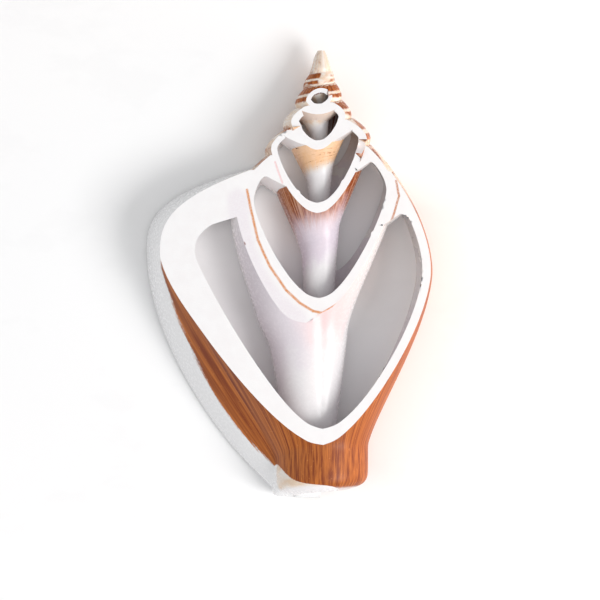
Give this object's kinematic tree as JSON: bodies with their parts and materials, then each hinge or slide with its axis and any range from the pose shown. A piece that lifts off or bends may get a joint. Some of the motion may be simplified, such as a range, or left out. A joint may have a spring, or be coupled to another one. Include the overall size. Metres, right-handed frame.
{
  "type": "cut seashell",
  "caption": "Dog conch sawn lengthwise on two planes into a flat slice that shows its coiled chambers, central columella and flared outer lip.",
  "frame": {"origin": "centre of the bounding box's bottom face, which is the back cut plane the slice lies on", "axes": "+Y along the shell's length towards the apex, +Z out of the front cut face, +X towards the right when the front cut face is seen with the apex up"},
  "size_m": [0.0406, 0.063, 0.0104],
  "materials": {
    "shell": "glossy enamel with a sawn, fine-ground cut face"
  },
  "bodies": {
    "root": {"shell": "shell"}
  },
  "joints": []
}
